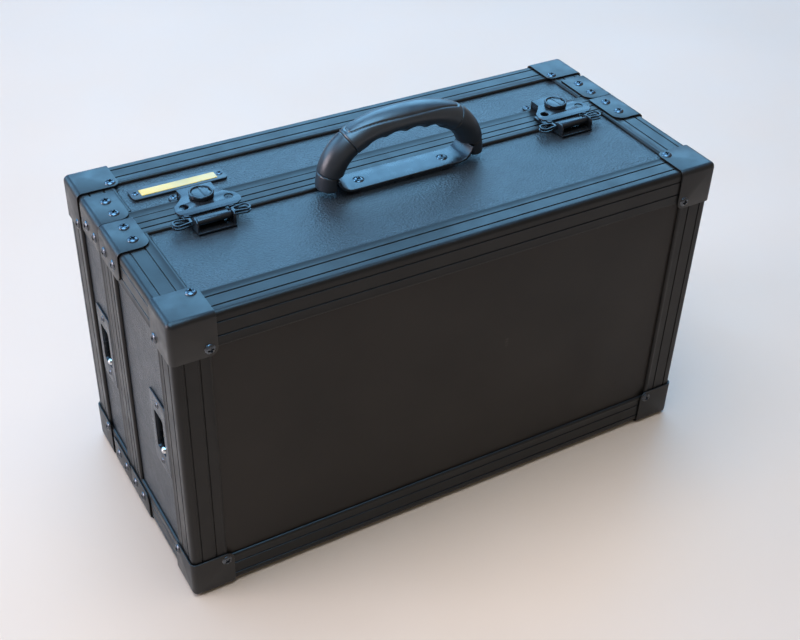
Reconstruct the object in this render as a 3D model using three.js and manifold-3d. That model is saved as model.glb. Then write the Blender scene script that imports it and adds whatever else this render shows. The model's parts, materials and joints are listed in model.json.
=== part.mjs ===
// Hard equipment case in two halves, standing on its long narrow side.
// X is the length (right +), Y the depth (back +), Z is up. The origin is the middle of the
// resting plane. All lengths are millimetres.
// The halves part on a vertical plane, open on two hinges under the case and close with two
// turn latches on top. Every sheet part is cut from shells that follow one rounded box.

import * as THREE from "three";
import { RoundedBoxGeometry } from "three/addons/geometries/RoundedBoxGeometry.js";
import { mergeVertices } from "three/addons/utils/BufferGeometryUtils.js";
import Module from "manifold-3d";

const wasm = await Module();
wasm.setup();

// ---------- driving dimensions ----------
const CASE = { length: 470, depth: 219, height: 266 };
const PARTING_Y = 27;            // the front half reaches from -CASE.depth / 2 to here
const SEAM = 0.15;               // each half stops this far from the parting plane
const FIT = 0.3;                 // gap between pieces that touch

const CAP_SHEET = 1.2;           // corner caps and braces, the outermost skin
const CAP_LEG = 35;
const CAP_RADIUS = 4.5;
const BRACE = { leg: 27, length: 41, corner: 9, steps: 4 };

const TRIM_INSET = CAP_SHEET + FIT;      // outer face of the aluminium trims
const TRIM_SHEET = 2;
const TRIM_RADIUS = 4;
const TRIM_LEG = 30;                     // flange edge, from the case's outer plane
const GROOVES = [9.5, 21];               // groove centres, from the case's outer plane
const GROOVE = { width: 1.4, depth: 0.7 };

const PANEL_INSET = TRIM_INSET + TRIM_SHEET + FIT;
const PANEL_SHEET = 6.2;
const PANEL_RADIUS = 4.2;

const CLOSURE = { front: 23, back: 10, web: 5, grooves: [8.5, 16] };
const TONGUE = { inset: 6.2, thick: 2, proud: 3 };
const TONGUE_PLAY = 0.6;

const HINGE = { x: 150, width: 60, axisZ: 3, barrel: 2.7, pin: 1, bore: 1.35, leaf: 0.9 };
const HINGE_RELIEF = { y: 3.8, z: 3.2, barrelZ: 6.4, play: 1 };
const HINGE_LEAF_Y = { front: 22, back: 24 };

const LATCH_X = { left: -155, right: 168.5 };
const HANDLE = { x: 1.8, y: -3, span: 65, rise: 46.2, power: 2.35, ring: 50 };
const END_PLATE = { width: 31, height: 69, sheet: 1.2, z: 133 };
const END_PLATE_Y = { front: -61, back: 57 };
const END_WINDOW = { width: 17, height: 36 };
const END_BAR = { radius: 2, y: -2, depth: 4.5, foot: 3 };
const LABEL = { x: -160, y: 59.2, length: 77, width: 17, thick: 2.6 };

// ---------- materials ----------
const look = (color, roughness, metalness) =>
  new THREE.MeshStandardMaterial({ color, roughness, metalness });
const MATERIAL = {
  panel: look(0x1b1e22, 0.6, 0),
  face: look(0x16130f, 0.5, 0),
  trim: look(0x1f252c, 0.4, 0.6),
  cap: look(0x23272c, 0.45, 0.5),
  steel: look(0x20262d, 0.35, 0.7),
  strap: look(0x2a3a4c, 0.3, 0.8),
  moulding: look(0x20252c, 0.5, 0),
  grip: look(0x2a2e33, 0.7, 0),
  label: look(0xd9b62a, 0.4, 0),
};

// ---------- solids ----------
function solid(geometry) {
  const bare = geometry.index ? geometry.clone() : mergeVertices(geometry);
  for (const name of Object.keys(bare.attributes)) {
    if (name !== "position") bare.deleteAttribute(name);
  }
  const merged = mergeVertices(bare, 1e-4);
  const mesh = new wasm.Mesh({
    numProp: 3,
    vertProperties: new Float32Array(merged.attributes.position.array),
    triVerts: new Uint32Array(merged.index.array),
  });
  return new wasm.Manifold(mesh);
}

function box(x, y, z) {
  const geometry = new THREE.BoxGeometry(x[1] - x[0], y[1] - y[0], z[1] - z[0]);
  geometry.translate((x[0] + x[1]) / 2, (y[0] + y[1]) / 2, (z[0] + z[1]) / 2);
  return solid(geometry);
}

// A box inset from the case's outer plane on every side, with rounded edges.
function caseBox(inset, radius) {
  const geometry = new RoundedBoxGeometry(
    CASE.length - 2 * inset, CASE.depth - 2 * inset, CASE.height - 2 * inset, 2, radius);
  geometry.translate(0, 0, CASE.height / 2);
  return solid(geometry);
}

function rod(axis, radius, from, to, centre, sides = 16) {
  const geometry = new THREE.CylinderGeometry(radius, radius, to - from, sides);
  if (axis === "x") geometry.rotateZ(Math.PI / 2);
  if (axis === "z") geometry.rotateX(Math.PI / 2);
  const middle = (from + to) / 2;
  const place = {
    x: [middle, centre[0], centre[1]],
    y: [centre[0], middle, centre[1]],
    z: [centre[0], centre[1], middle],
  }[axis];
  geometry.translate(...place);
  return solid(geometry);
}

// An outline in X and Y, raised from one Z to another.
function plate(points, from, to) {
  const shape = new THREE.Shape(points.map(([x, y]) => new THREE.Vector2(x, y)));
  const geometry = new THREE.ExtrudeGeometry(shape, { depth: to - from, bevelEnabled: false });
  geometry.translate(0, 0, from);
  return solid(geometry);
}

const unite = (solids) => solids.reduce((whole, next) => whole.add(next));

const model = new THREE.Group();

function addPiece(name, shape, material) {
  const data = shape.getMesh();
  const geometry = new THREE.BufferGeometry();
  geometry.setAttribute("position", new THREE.BufferAttribute(new Float32Array(data.vertProperties), 3));
  geometry.setIndex(Array.from(data.triVerts));
  geometry.computeVertexNormals();
  const mesh = new THREE.Mesh(geometry, material);
  mesh.name = name;
  model.add(mesh);
}

// ---------- the case's planes ----------
const HALF_L = CASE.length / 2;
const HALF_D = CASE.depth / 2;
const TOP = CASE.height;
const FAR = 600;                         // beyond the case on every side
const INNER = PANEL_INSET + PANEL_SHEET; // inner faces of the panels

const SIDES = { left: -1, right: 1 };
const LEVELS = { bottom: 0, top: 1 };
const HALVES = { front: -1, back: 1 };

// The stretch of X within `leg` of one end, and of Z within `leg` of the top or bottom.
const nearX = (side, leg) => (side < 0 ? [-FAR, -HALF_L + leg] : [HALF_L - leg, FAR]);
const nearZ = (level, leg) => (level ? [TOP - leg, FAR] : [-FAR, leg]);
// The stretch of Y that one half fills, between two distances from its own large face.
function depthBand(half, from, to) {
  return half < 0 ? [-HALF_D + from, -HALF_D + to] : [HALF_D - to, HALF_D - from];
}
// The depth of one half, from its large face to the seam.
const halfDepth = (half) => (half < 0 ? PARTING_Y + HALF_D : HALF_D - PARTING_Y) - SEAM;

// Both halves are cut back under the hinge axis, so that they clear each other when they swing,
// and further up where the hinge barrels lie.
function hingeCut(x, z) {
  return box(x, [PARTING_Y - HINGE_RELIEF.y, PARTING_Y + HINGE_RELIEF.y], [-FAR, z]);
}
const hingeRelief = unite([
  hingeCut([-FAR, FAR], HINGE_RELIEF.z),
  ...[-HINGE.x, HINGE.x].map((x) => hingeCut(
    [x - HINGE.width / 2 - HINGE_RELIEF.play, x + HINGE.width / 2 + HINGE_RELIEF.play],
    HINGE_RELIEF.barrelZ)),
]);

// ---------- panels ----------
const panelBlock = caseBox(PANEL_INSET, PANEL_RADIUS);

function endWindow(half) {
  const y = END_PLATE_Y[half];
  const reach = { y: END_WINDOW.width / 2 + 2, z: END_WINDOW.height / 2 + 5 };
  return box([-FAR, -HALF_L + INNER + 1], [y - reach.y, y + reach.y],
    [END_PLATE.z - reach.z, END_PLATE.z + reach.z]);
}

function addPanels(name, half) {
  const depth = halfDepth(half) - CLOSURE.web - FIT;
  const face = panelBlock.intersect(box([-FAR, FAR], depthBand(half, -FAR, INNER), [-FAR, FAR]));
  addPiece(`${name}_face_panel`, face, MATERIAL.face);
  const sleeve = depthBand(half, INNER + FIT, depth);
  for (const [level, up] of Object.entries(LEVELS)) {
    const panel = panelBlock.intersect(box([-FAR, FAR], sleeve, nearZ(up, INNER)));
    addPiece(`${name}_${level}_panel`, panel, MATERIAL.panel);
  }
  for (const [side, sign] of Object.entries(SIDES)) {
    let panel = panelBlock.intersect(
      box(nearX(sign, INNER), sleeve, [INNER + FIT, TOP - INNER - FIT]));
    if (side === "left") panel = panel.subtract(endWindow(name));
    addPiece(`${name}_${side}_panel`, panel, MATERIAL.panel);
  }
}

// ---------- trims ----------
// Grooves run round the case along its edges. They stop under the corner caps, and those along
// the depth and upright edges stop at the closure flanges.
function trimGrooves() {
  const reach = GROOVE.width / 2;
  const along = [];
  const round = [];
  for (const at of GROOVES) {
    for (const x of [-HALF_L + at, HALF_L - at]) {
      along.push(box([x - reach, x + reach], [-FAR, FAR], [-FAR, FAR]));
    }
    for (const z of [at, TOP - at]) {
      along.push(box([-FAR, FAR], [-FAR, FAR], [z - reach, z + reach]));
    }
    for (const y of [-HALF_D + at, HALF_D - at]) {
      round.push(box([-FAR, FAR], [y - reach, y + reach], [-FAR, FAR]));
    }
  }
  for (const at of CLOSURE.grooves) {
    const y = PARTING_Y - at;
    round.push(box([-FAR, FAR], [y - reach, y + reach], [-FAR, FAR]));
  }
  const closures = box([-FAR, FAR], [PARTING_Y - CLOSURE.front, PARTING_Y + CLOSURE.back], [-FAR, FAR]);
  const skin = caseBox(TRIM_INSET + GROOVE.depth, TRIM_RADIUS - GROOVE.depth);
  const underCaps = [];
  for (const half of Object.values(HALVES)) {
    for (const up of Object.values(LEVELS)) {
      for (const side of Object.values(SIDES)) {
        const leg = CAP_LEG - 2;
        underCaps.push(box(nearX(side, leg), depthBand(half, -FAR, leg), nearZ(up, leg)));
      }
    }
  }
  return unite(along).subtract(closures).add(unite(round)).subtract(skin).subtract(unite(underCaps));
}

const trimShell = caseBox(TRIM_INSET, TRIM_RADIUS)
  .subtract(caseBox(TRIM_INSET + TRIM_SHEET, TRIM_RADIUS - TRIM_SHEET));
const groovedShell = trimShell.subtract(trimGrooves());
// The opening inside a frame whose flanges are `leg` wide.
const windowBox = (leg, y) => box([-HALF_L + leg, HALF_L - leg], y, [leg, TOP - leg]);

function addEdgeFrame(name, half) {
  const band = box([-FAR, FAR], depthBand(half, -FAR, TRIM_LEG), [-FAR, FAR]);
  const frame = groovedShell.intersect(band).subtract(windowBox(TRIM_LEG, [-FAR, FAR]));
  addPiece(`${name}_edge_frame`, frame, MATERIAL.trim);
}

function addDepthTrims(name, half) {
  const flange = CLOSURE[name];
  const run = depthBand(half, TRIM_LEG + FIT, halfDepth(half) + SEAM - flange - FIT);
  for (const [level, up] of Object.entries(LEVELS)) {
    for (const [side, sign] of Object.entries(SIDES)) {
      const corner = box(nearX(sign, TRIM_LEG), run, nearZ(up, TRIM_LEG));
      addPiece(`${name}_${level}_${side}_trim`, groovedShell.intersect(corner), MATERIAL.trim);
    }
  }
}

// A ring of the tongue's section, on the top and both ends but not along the hinge side.
function tongueRing(from, to, play) {
  const outer = TONGUE.inset - play;
  const inner = TONGUE.inset + TONGUE.thick + play;
  const ring = box([-HALF_L + outer, HALF_L - outer], [from, to], [INNER + 4, TOP - outer]);
  return ring.subtract(box([-HALF_L + inner, HALF_L - inner], [-FAR, FAR], [-FAR, TOP - inner]));
}

function addClosureFrame(name, half) {
  const full = halfDepth(half);
  const flange = groovedShell.intersect(
    box([-FAR, FAR], depthBand(half, full + SEAM - CLOSURE[name], full), [-FAR, FAR]));
  const web = caseBox(TRIM_INSET, TRIM_RADIUS).intersect(
    box([-FAR, FAR], depthBand(half, full - CLOSURE.web, full), [-FAR, FAR]));
  let frame = flange.add(web.subtract(windowBox(INNER + 1, [-FAR, FAR])));
  if (half < 0) {
    frame = frame.add(tongueRing(PARTING_Y - 1, PARTING_Y + TONGUE.proud, 0));
  } else {
    frame = frame.subtract(tongueRing(-FAR, PARTING_Y + TONGUE.proud + 0.4, TONGUE_PLAY));
  }
  addPiece(`${name}_closure_frame`, frame.subtract(hingeRelief), MATERIAL.trim);
}

// ---------- corner caps and braces ----------
const capShell = caseBox(0, CAP_RADIUS).subtract(caseBox(CAP_SHEET, CAP_RADIUS - CAP_SHEET));

function addCornerCaps(name, half) {
  for (const [level, up] of Object.entries(LEVELS)) {
    for (const [side, sign] of Object.entries(SIDES)) {
      const corner = box(nearX(sign, CAP_LEG), depthBand(half, -FAR, CAP_LEG), nearZ(up, CAP_LEG));
      addPiece(`${name}_${level}_${side}_cap`, capShell.intersect(corner), MATERIAL.cap);
    }
  }
}

// One leg's outline across the edge and along Y, with its front free corner rounded.
function braceOutline(edge, inward, y) {
  const { leg, corner, steps } = BRACE;
  const points = [];
  for (let i = 0; i <= steps; i++) {
    const angle = (Math.PI / 2) * (i / steps);
    points.push([
      edge + inward * (leg - corner + corner * Math.sin(angle)),
      y[0] + corner * (1 - Math.cos(angle)),
    ]);
  }
  const beyond = edge - inward * leg;
  return [...points, [edge + inward * leg, y[1]], [beyond, y[1]], [beyond, y[0]]];
}

function addBraces(name, half) {
  const full = halfDepth(half);
  const run = depthBand(half, full - BRACE.length, full);
  for (const [level, up] of Object.entries(LEVELS)) {
    for (const [side, sign] of Object.entries(SIDES)) {
      const flatLeg = plate(braceOutline(sign * HALF_L, -sign, run), -FAR, FAR);
      const sideLeg = plate(braceOutline(up * TOP, up ? -1 : 1, run), -FAR, FAR)
        .rotate([0, -90, 0]);
      const corner = box(nearX(sign, BRACE.leg), run, nearZ(up, BRACE.leg));
      const brace = capShell.intersect(corner).intersect(flatLeg).intersect(sideLeg);
      addPiece(`${name}_${level}_${side}_brace`, brace.subtract(hingeRelief), MATERIAL.cap);
    }
  }
}

// ---------- hinges under the case ----------
const HINGE_LOW = HINGE.axisZ - HINGE.barrel;
const HINGE_AXIS = [PARTING_Y, HINGE.axisZ];

// One leaf: a strip beside the seam and the knuckles over the given stretches of X.
function hingeLeaf(away, ends, reach, knuckles) {
  const beside = (from, to) => (away < 0 ? [PARTING_Y - to, PARTING_Y - from]
    : [PARTING_Y + from, PARTING_Y + to]);
  const z = [HINGE_LOW, HINGE_LOW + HINGE.leaf];
  const parts = [box(ends, beside(HINGE_RELIEF.y + FIT, reach), z)];
  for (const span of knuckles) {
    parts.push(box(span, beside(0, HINGE_RELIEF.y + 1), z));
    parts.push(rod("x", HINGE.barrel, span[0], span[1], HINGE_AXIS));
  }
  return unite(parts);
}

function addHinges() {
  for (const [side, sign] of Object.entries(SIDES)) {
    const middle = sign * HINGE.x;
    const ends = [middle - HINGE.width / 2, middle + HINGE.width / 2];
    const third = HINGE.width / 3;
    const outer = [[ends[0], ends[0] + third], [ends[1] - third, ends[1]]];
    const centre = [ends[0] + third + FIT, ends[1] - third - FIT];

    const pin = rod("x", HINGE.pin, ends[0], ends[1], HINGE_AXIS);
    const front = hingeLeaf(-1, ends, HINGE_LEAF_Y.front, outer).add(pin);
    const bore = rod("x", HINGE.bore, centre[0] - 1, centre[1] + 1, HINGE_AXIS);
    const foot = box(ends, [PARTING_Y + CLOSURE.back + FIT, PARTING_Y + HINGE_LEAF_Y.back],
      [HINGE_LOW, PANEL_INSET - FIT]);
    const back = hingeLeaf(1, ends, HINGE_LEAF_Y.back, [centre]).subtract(bore).add(foot);
    addPiece(`hinge_${side}_front_leaf`, front, MATERIAL.steel);
    addPiece(`hinge_${side}_back_leaf`, back, MATERIAL.steel);
  }
}

// ---------- latches ----------
// Lengths from the latch's middle (X), the parting plane (Y) and the case's top plane (Z).
const COVER = {
  z: [4.4, 5.6], front: -25.5, shoulder: -3, neck: 14, back: 11.8,
  lobe: { x: 17.7, y: -13.5, radius: 8.6, hole: 3.5 },
  drop: { half: 19, sheet: 1.4 },                 // behind, down to the panel
  foot: { x: [11.5, 19], back: 19, top: -2.2 },   // screwed to the panel
  cheek: { x: [12.3, 13.7], front: 0.6, low: -1.2 },
  tab: { x: [19, 23], y: [-27.5, -20.5] },        // from the lobe to the ear
};
const DISC = { y: -4, radius: 9.5, z: [5.9, 9.6], recess: 7.7, floor: 7.7, spindle: 3, low: 4.2 };
const WING = { radius: 7.2, z: [8, 9.3], edge: 0.25, play: 0.65 };
const CLAW = { half: 11.5, z: [2.9, 3.9], pivotY: 4, pivotZ: 1.4, barrel: 2.4, bore: 1.5, pin: 1.1 };
const NOSE = { y: -36.5, z: 3.7, radius: 2.8 };
const KEEPER = {
  half: 14.5, front: -42, back: -26.2, sheet: 1.3, top: 6.8, floor: -3.5,
  seat: { half: 22, back: -5 },                   // the plate on the closure flange
  step: 1.3,                                      // the drop from the flange to the panel
  bar: [-31, -28],
};
const EAR = { x: 24, y: -31, radius: 5.5, hole: 3.2, keeper: [0.2, 1.4], cover: [2.6, 3.8] };

const PAIR = [-1, 1];
// A stretch of X given for the right side, on either side.
const onSide = (side, [from, to]) => (side < 0 ? [-to, -from] : [from, to]);

function ears([from, to]) {
  return PAIR.map((side) => rod("z", EAR.radius, from, to, [side * EAR.x, EAR.y]));
}

function earHoles([from, to]) {
  return PAIR.map((side) => rod("z", EAR.hole, from - 1, to + 1, [side * EAR.x, EAR.y], 12));
}

function latchCover() {
  const { lobe, neck, front, shoulder, back, drop, foot, cheek, tab, z } = COVER;
  const parts = [
    plate([[-neck, 0], [neck, 0], [neck, back], [-neck, back]], z[0], z[1]),
    plate([[-lobe.x, front], [lobe.x, front], [lobe.x, shoulder], [neck, 1], [-neck, 1],
      [-lobe.x, shoulder]], z[0], z[1]),
    box([-drop.half, drop.half], [back - drop.sheet, back], [KEEPER.floor, z[1]]),
    rod("x", CLAW.pin, -neck + 1, neck - 1, [CLAW.pivotY, CLAW.pivotZ], 12),
    ...ears(EAR.cover),
  ];
  const holes = [rod("z", DISC.spindle + FIT, z[0] - 1, z[1] + 1, [0, DISC.y]), ...earHoles(EAR.cover)];
  for (const side of PAIR) {
    parts.push(rod("z", lobe.radius, z[0], z[1], [side * lobe.x, lobe.y], 8));
    parts.push(box(onSide(side, cheek.x), [cheek.front, back], [cheek.low, z[1]]));
    parts.push(box(onSide(side, foot.x), [back - 1, foot.back], [KEEPER.floor, foot.top]));
    parts.push(box(onSide(side, tab.x), tab.y, [EAR.cover[0], z[1]]));
    holes.push(rod("z", lobe.hole, z[0] - 1, z[1] + 1, [side * lobe.x, lobe.y], 12));
  }
  return unite(parts).subtract(unite(holes));
}

// The half of the disc's top that the folding wing lies in.
const wingSide = (from) => box([from, FAR], [-FAR, FAR], [0, FAR]);

function latchDisc() {
  const body = rod("z", DISC.radius, DISC.z[0], DISC.z[1], [0, DISC.y], 32);
  const spindle = rod("z", DISC.spindle, DISC.low, DISC.z[0] + 1, [0, DISC.y]);
  const room = rod("z", DISC.recess, DISC.floor, DISC.z[1] + 1, [0, DISC.y], 32);
  return body.add(spindle).subtract(room.intersect(wingSide(WING.edge - WING.play)));
}

function latchWing() {
  const round = rod("z", WING.radius, WING.z[0], WING.z[1], [0, DISC.y], 32);
  return round.intersect(wingSide(WING.edge));
}

function latchClaw() {
  const { half, z, pivotY, pivotZ, barrel, bore } = CLAW;
  const parts = [
    box([-half, half], [NOSE.y, pivotY], z),
    rod("x", NOSE.radius, -half, half, [NOSE.y, NOSE.z], 20),
    rod("x", barrel, -half, half, [pivotY, pivotZ], 16),
  ];
  return unite(parts).subtract(rod("x", bore, -half - 1, half + 1, [pivotY, pivotZ], 12));
}

function latchKeeper() {
  const { half, front, back, sheet, top, floor, seat, step, bar } = KEEPER;
  const [low, high] = EAR.keeper;
  const edge = -CLOSURE.front;
  const parts = [
    box([-seat.half, seat.half], [edge - FIT, seat.back], [-TRIM_INSET + FIT, low]),
    box([-half, half], [edge - FIT - step, edge - FIT], [floor, low]),
    box([-half, half], [front, edge - 1], [floor, floor + sheet]),
    box([-half, half], bar, [low - sheet, low]),
    ...ears(EAR.keeper),
  ];
  for (const side of PAIR) {
    parts.push(box(onSide(side, [half - sheet, half]), [front, back], [floor, top]));
    parts.push(box(onSide(side, [half, EAR.x]), [EAR.y - EAR.radius, EAR.y + EAR.radius],
      [low, high]));
  }
  return unite(parts).subtract(unite(earHoles(EAR.keeper)));
}

function addLatch(side) {
  const pieces = {
    cover: latchCover, disc: latchDisc, wing: latchWing, claw: latchClaw, keeper: latchKeeper,
  };
  for (const [piece, make] of Object.entries(pieces)) {
    const shape = make().translate([LATCH_X[side], PARTING_Y, TOP]);
    addPiece(`latch_${side}_${piece}`, shape, MATERIAL.steel);
  }
}

// ---------- handle ----------
// Lengths from the case's top plane (Z) and the handle's middle (X, Y).
const GRIP = { across: 12, out: 10.9, steps: 14 };
const ELBOW = { foot: [10.8, 8.9], top: [11.8, 10.7], steps: 6, start: 0.03, gap: 0.008 };
const BASE_STRAP = { width: 24, sheet: 2, flat: 47, bend: 12, top: 1.1, tip: 0.15 };
const STRAP_PAD = { inset: 6, front: -11, back: 7 };     // raises the strap to the closure flange

// The grip's centre line is a flattened arch.
function archPoint(angle) {
  const { span, rise, power } = HANDLE;
  const bend = (value) => Math.sign(value) * Math.abs(value) ** (2 / power);
  return new THREE.Vector3(span * bend(Math.cos(angle)), 0, rise * bend(Math.sin(angle)));
}

// The arch's direction, from a short chord.
function archDirection(angle) {
  const step = 0.004;
  return archPoint(angle + step).sub(archPoint(angle - step)).normalize();
}

// The angle on the arch at which its centre line is `x` from the middle.
const archAngle = (x) => Math.acos((x / HANDLE.span) ** (HANDLE.power / 2));

function oval(across, out, sides = 12) {
  return Array.from({ length: sides }, (_, i) => {
    const angle = (2 * Math.PI * i) / sides;
    return [across * Math.cos(angle), out * Math.sin(angle)];
  });
}

// Oval rings square to the arch between two angles, joined into one closed solid. The section
// is given for each ring by its share of the way.
function sweepArch(from, to, steps, section) {
  const across = new THREE.Vector3(0, 1, 0);
  const rings = [];
  for (let i = 0; i <= steps; i++) {
    const angle = from + ((to - from) * i) / steps;
    const out = archDirection(angle).cross(across).negate();
    rings.push(section(i / steps).map(([a, b]) =>
      archPoint(angle).addScaledVector(across, a).addScaledVector(out, b)));
  }
  return stack(rings);
}

function stack(rings) {
  const sides = rings[0].length;
  const index = [];
  for (let r = 0; r + 1 < rings.length; r++) {
    for (let s = 0; s < sides; s++) {
      const a = r * sides + s;
      const b = r * sides + (s + 1) % sides;
      index.push(a, b + sides, b, a, a + sides, b + sides);
    }
  }
  const last = (rings.length - 1) * sides;
  for (let s = 1; s + 1 < sides; s++) {
    index.push(0, s, s + 1);
    index.push(last, last + s + 1, last + s);
  }
  const geometry = new THREE.BufferGeometry().setFromPoints(rings.flat());
  geometry.setIndex(index);
  return solid(geometry);
}

// The steel strap lies on the panel and over the closure flange, and its ends curl up.
function baseStrap() {
  const { width, sheet, flat, bend, top, tip } = BASE_STRAP;
  const low = -Math.PI / 2;
  const outline = new THREE.Shape();
  outline.moveTo(-flat, top);
  outline.lineTo(flat, top);
  outline.absarc(flat, top + bend, bend, low, -tip, false);
  outline.absarc(flat, top + bend, bend + sheet, -tip, low, true);
  outline.lineTo(-flat, top - sheet);
  outline.absarc(-flat, top + bend, bend + sheet, low, -Math.PI + tip, true);
  outline.absarc(-flat, top + bend, bend, -Math.PI + tip, low, false);
  const geometry = new THREE.ExtrudeGeometry(outline, {
    depth: width, bevelEnabled: false, curveSegments: 6,
  });
  geometry.translate(0, 0, -width / 2);
  geometry.rotateX(Math.PI / 2);
  const { inset, front, back } = STRAP_PAD;
  const pad = box([-flat + inset, flat - inset], [front, back],
    [-PANEL_INSET + FIT, top - sheet / 2]);
  return solid(geometry).add(pad);
}

// The room that the strap's curled ends and the fingers take out of the elbows' inner side.
function strapClearance() {
  const { flat, bend, sheet, width, top } = BASE_STRAP;
  const reach = flat + bend + sheet + FIT;
  return box([-reach, reach], [-width / 2 - FIT, width / 2 + FIT], [-FAR, top + bend + FIT]);
}

function addHandle() {
  const place = (name, shape, material) =>
    addPiece(name, shape.translate([HANDLE.x, HANDLE.y, TOP]), material);
  const ring = archAngle(HANDLE.ring);
  place("handle_strap", baseStrap(), MATERIAL.strap);
  const grip = sweepArch(ring, Math.PI - ring, GRIP.steps, () => oval(GRIP.across, GRIP.out));
  place("handle_grip", grip, MATERIAL.grip);
  const { foot, top, steps, start, gap } = ELBOW;
  const mix = (t, i) => foot[i] + (top[i] - foot[i]) * t;
  const elbow = sweepArch(start, ring - gap, steps, (t) => oval(mix(t, 0), mix(t, 1)))
    .subtract(strapClearance());
  place("handle_right_elbow", elbow, MATERIAL.moulding);
  place("handle_left_elbow", elbow.mirror([1, 0, 0]), MATERIAL.moulding);
}

// ---------- label and end plates ----------
function addLabel() {
  const low = TOP - PANEL_INSET + FIT;
  const end = LABEL.length / 2 - LABEL.width / 2;
  const parts = [box([-end, end], [-LABEL.width / 2, LABEL.width / 2], [0, LABEL.thick])];
  for (const x of [-end, end]) parts.push(rod("z", LABEL.width / 2, 0, LABEL.thick, [x, 0], 20));
  addPiece("label_plate", unite(parts).translate([LABEL.x, LABEL.y, low]), MATERIAL.label);
}

// A plate on the left end, flat on the panel behind it, with a bar across its window.
function endPlate(y) {
  const outer = -HALF_L + PANEL_INSET - FIT;
  const across = (half, shift = 0) => [y + shift - half, y + shift + half];
  const upright = (half) => [END_PLATE.z - half, END_PLATE.z + half];
  const windowTop = END_WINDOW.height / 2;
  const sheet = box([outer - END_PLATE.sheet, outer], across(END_PLATE.width / 2),
    upright(END_PLATE.height / 2));
  const hole = box([-FAR, outer + 1], across(END_WINDOW.width / 2), upright(windowTop));
  const barEnd = windowTop + END_BAR.foot;
  const bar = rod("z", END_BAR.radius, ...upright(barEnd),
    [outer + END_BAR.depth, y + END_BAR.y], 12);
  const feet = PAIR.map((end) => box(
    [outer - END_PLATE.sheet / 2, outer + END_BAR.depth], across(END_BAR.foot / 2, END_BAR.y),
    [END_PLATE.z, END_PLATE.z + end * barEnd].sort((a, b) => a - b))
    .subtract(box([-FAR, FAR], [-FAR, FAR], upright(windowTop + FIT))));
  return unite([sheet.subtract(hole), bar, ...feet]);
}

function addEndPlates() {
  for (const [name, y] of Object.entries(END_PLATE_Y)) {
    addPiece(`${name}_end_plate`, endPlate(y), MATERIAL.strap);
  }
}

// ---------- assembly ----------
for (const [name, half] of Object.entries(HALVES)) {
  addPanels(name, half);
  addEdgeFrame(name, half);
  addDepthTrims(name, half);
  addClosureFrame(name, half);
  addCornerCaps(name, half);
  addBraces(name, half);
}
addHinges();
for (const side of Object.keys(SIDES)) addLatch(side);
addHandle();
addLabel();
addEndPlates();

export default model;
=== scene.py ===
"""A black hard equipment case: its visible pieces and materials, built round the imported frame.

Lengths are millimetres in the row's frame (X length, Y depth, Z up) until a mesh is made.
"""
import json
import math

import bmesh
import bpy
from mathutils import Matrix, Vector

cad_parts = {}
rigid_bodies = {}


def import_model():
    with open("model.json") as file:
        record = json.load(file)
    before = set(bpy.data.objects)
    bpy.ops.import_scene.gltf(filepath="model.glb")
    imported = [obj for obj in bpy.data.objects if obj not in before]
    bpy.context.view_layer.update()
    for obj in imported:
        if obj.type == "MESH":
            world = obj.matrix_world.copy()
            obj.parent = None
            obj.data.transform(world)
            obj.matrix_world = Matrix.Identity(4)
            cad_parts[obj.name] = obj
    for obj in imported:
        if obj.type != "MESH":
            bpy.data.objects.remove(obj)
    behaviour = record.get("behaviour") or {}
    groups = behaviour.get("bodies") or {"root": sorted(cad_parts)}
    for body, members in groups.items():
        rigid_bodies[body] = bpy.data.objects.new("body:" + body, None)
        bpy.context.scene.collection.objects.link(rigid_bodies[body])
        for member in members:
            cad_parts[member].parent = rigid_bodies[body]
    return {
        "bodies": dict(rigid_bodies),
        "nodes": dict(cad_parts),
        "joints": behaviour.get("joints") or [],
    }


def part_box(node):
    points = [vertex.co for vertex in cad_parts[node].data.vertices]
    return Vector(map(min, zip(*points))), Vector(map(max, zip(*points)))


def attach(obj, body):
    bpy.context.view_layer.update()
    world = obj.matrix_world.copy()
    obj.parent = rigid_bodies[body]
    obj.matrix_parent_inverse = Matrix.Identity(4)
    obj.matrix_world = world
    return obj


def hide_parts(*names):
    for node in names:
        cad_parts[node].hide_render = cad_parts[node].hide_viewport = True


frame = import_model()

for leftover in set(bpy.data.objects) - set(frame["nodes"].values()) - set(frame["bodies"].values()):
    bpy.data.objects.remove(leftover)

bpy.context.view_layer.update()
MM = 0.001

# ---------- driving dimensions, from the frame ----------


def low(node):
    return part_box(node)[0] / MM


def high(node):
    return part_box(node)[1] / MM


def joint_point(name):
    return Vector(next(j["pos_m"] for j in frame["joints"] if j["name"] == name)) / MM


HALF_L = high("back_top_right_cap").x
HALF_D = high("back_top_right_cap").y
TOP = high("back_top_right_cap").z
PARTING = joint_point("back_half_swing").y
SEAM = PARTING - high("front_top_left_brace").y      # each half stops this far from the parting
CAP_LEG = HALF_L + high("front_top_left_cap").x
BRACE_LENGTH = high("front_top_left_brace").y - low("front_top_left_brace").y
BRACE_LEG = HALF_L + high("front_top_left_brace").x
TRIM_INSET = HALF_L + low("front_edge_frame").x
TRIM_LEG = HALF_D + high("front_edge_frame").y
PANEL_TOP = high("front_top_panel").z

CAP_SHEET = 1.2
CAP_BEND = 4.5
CAP_CORNER = 6.2
BRACE_CORNER = 9
TRIM_SHEET = 2
TRIM_BEND = 4
TRIM_GROOVES = [9.5, 21]
CLOSURE_GROOVES = [8.5, 16]
CLOSURE_EDGE = {"front": 23, "back": 10}
CLOSURE_WEB = 5
WEB_DEPTH = 11
SEAM_EASE = 0.4       # the closure trims' edges are eased this much at the parting
GROOVE = {"half": 0.75, "floor": 0.4, "depth": 0.7}

SIDES = {"left": -1, "right": 1}
LEVELS = {"bottom": -1, "top": 1}
HALVES = {"front": -1, "back": 1}

# ---------- mesh helpers ----------


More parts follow.
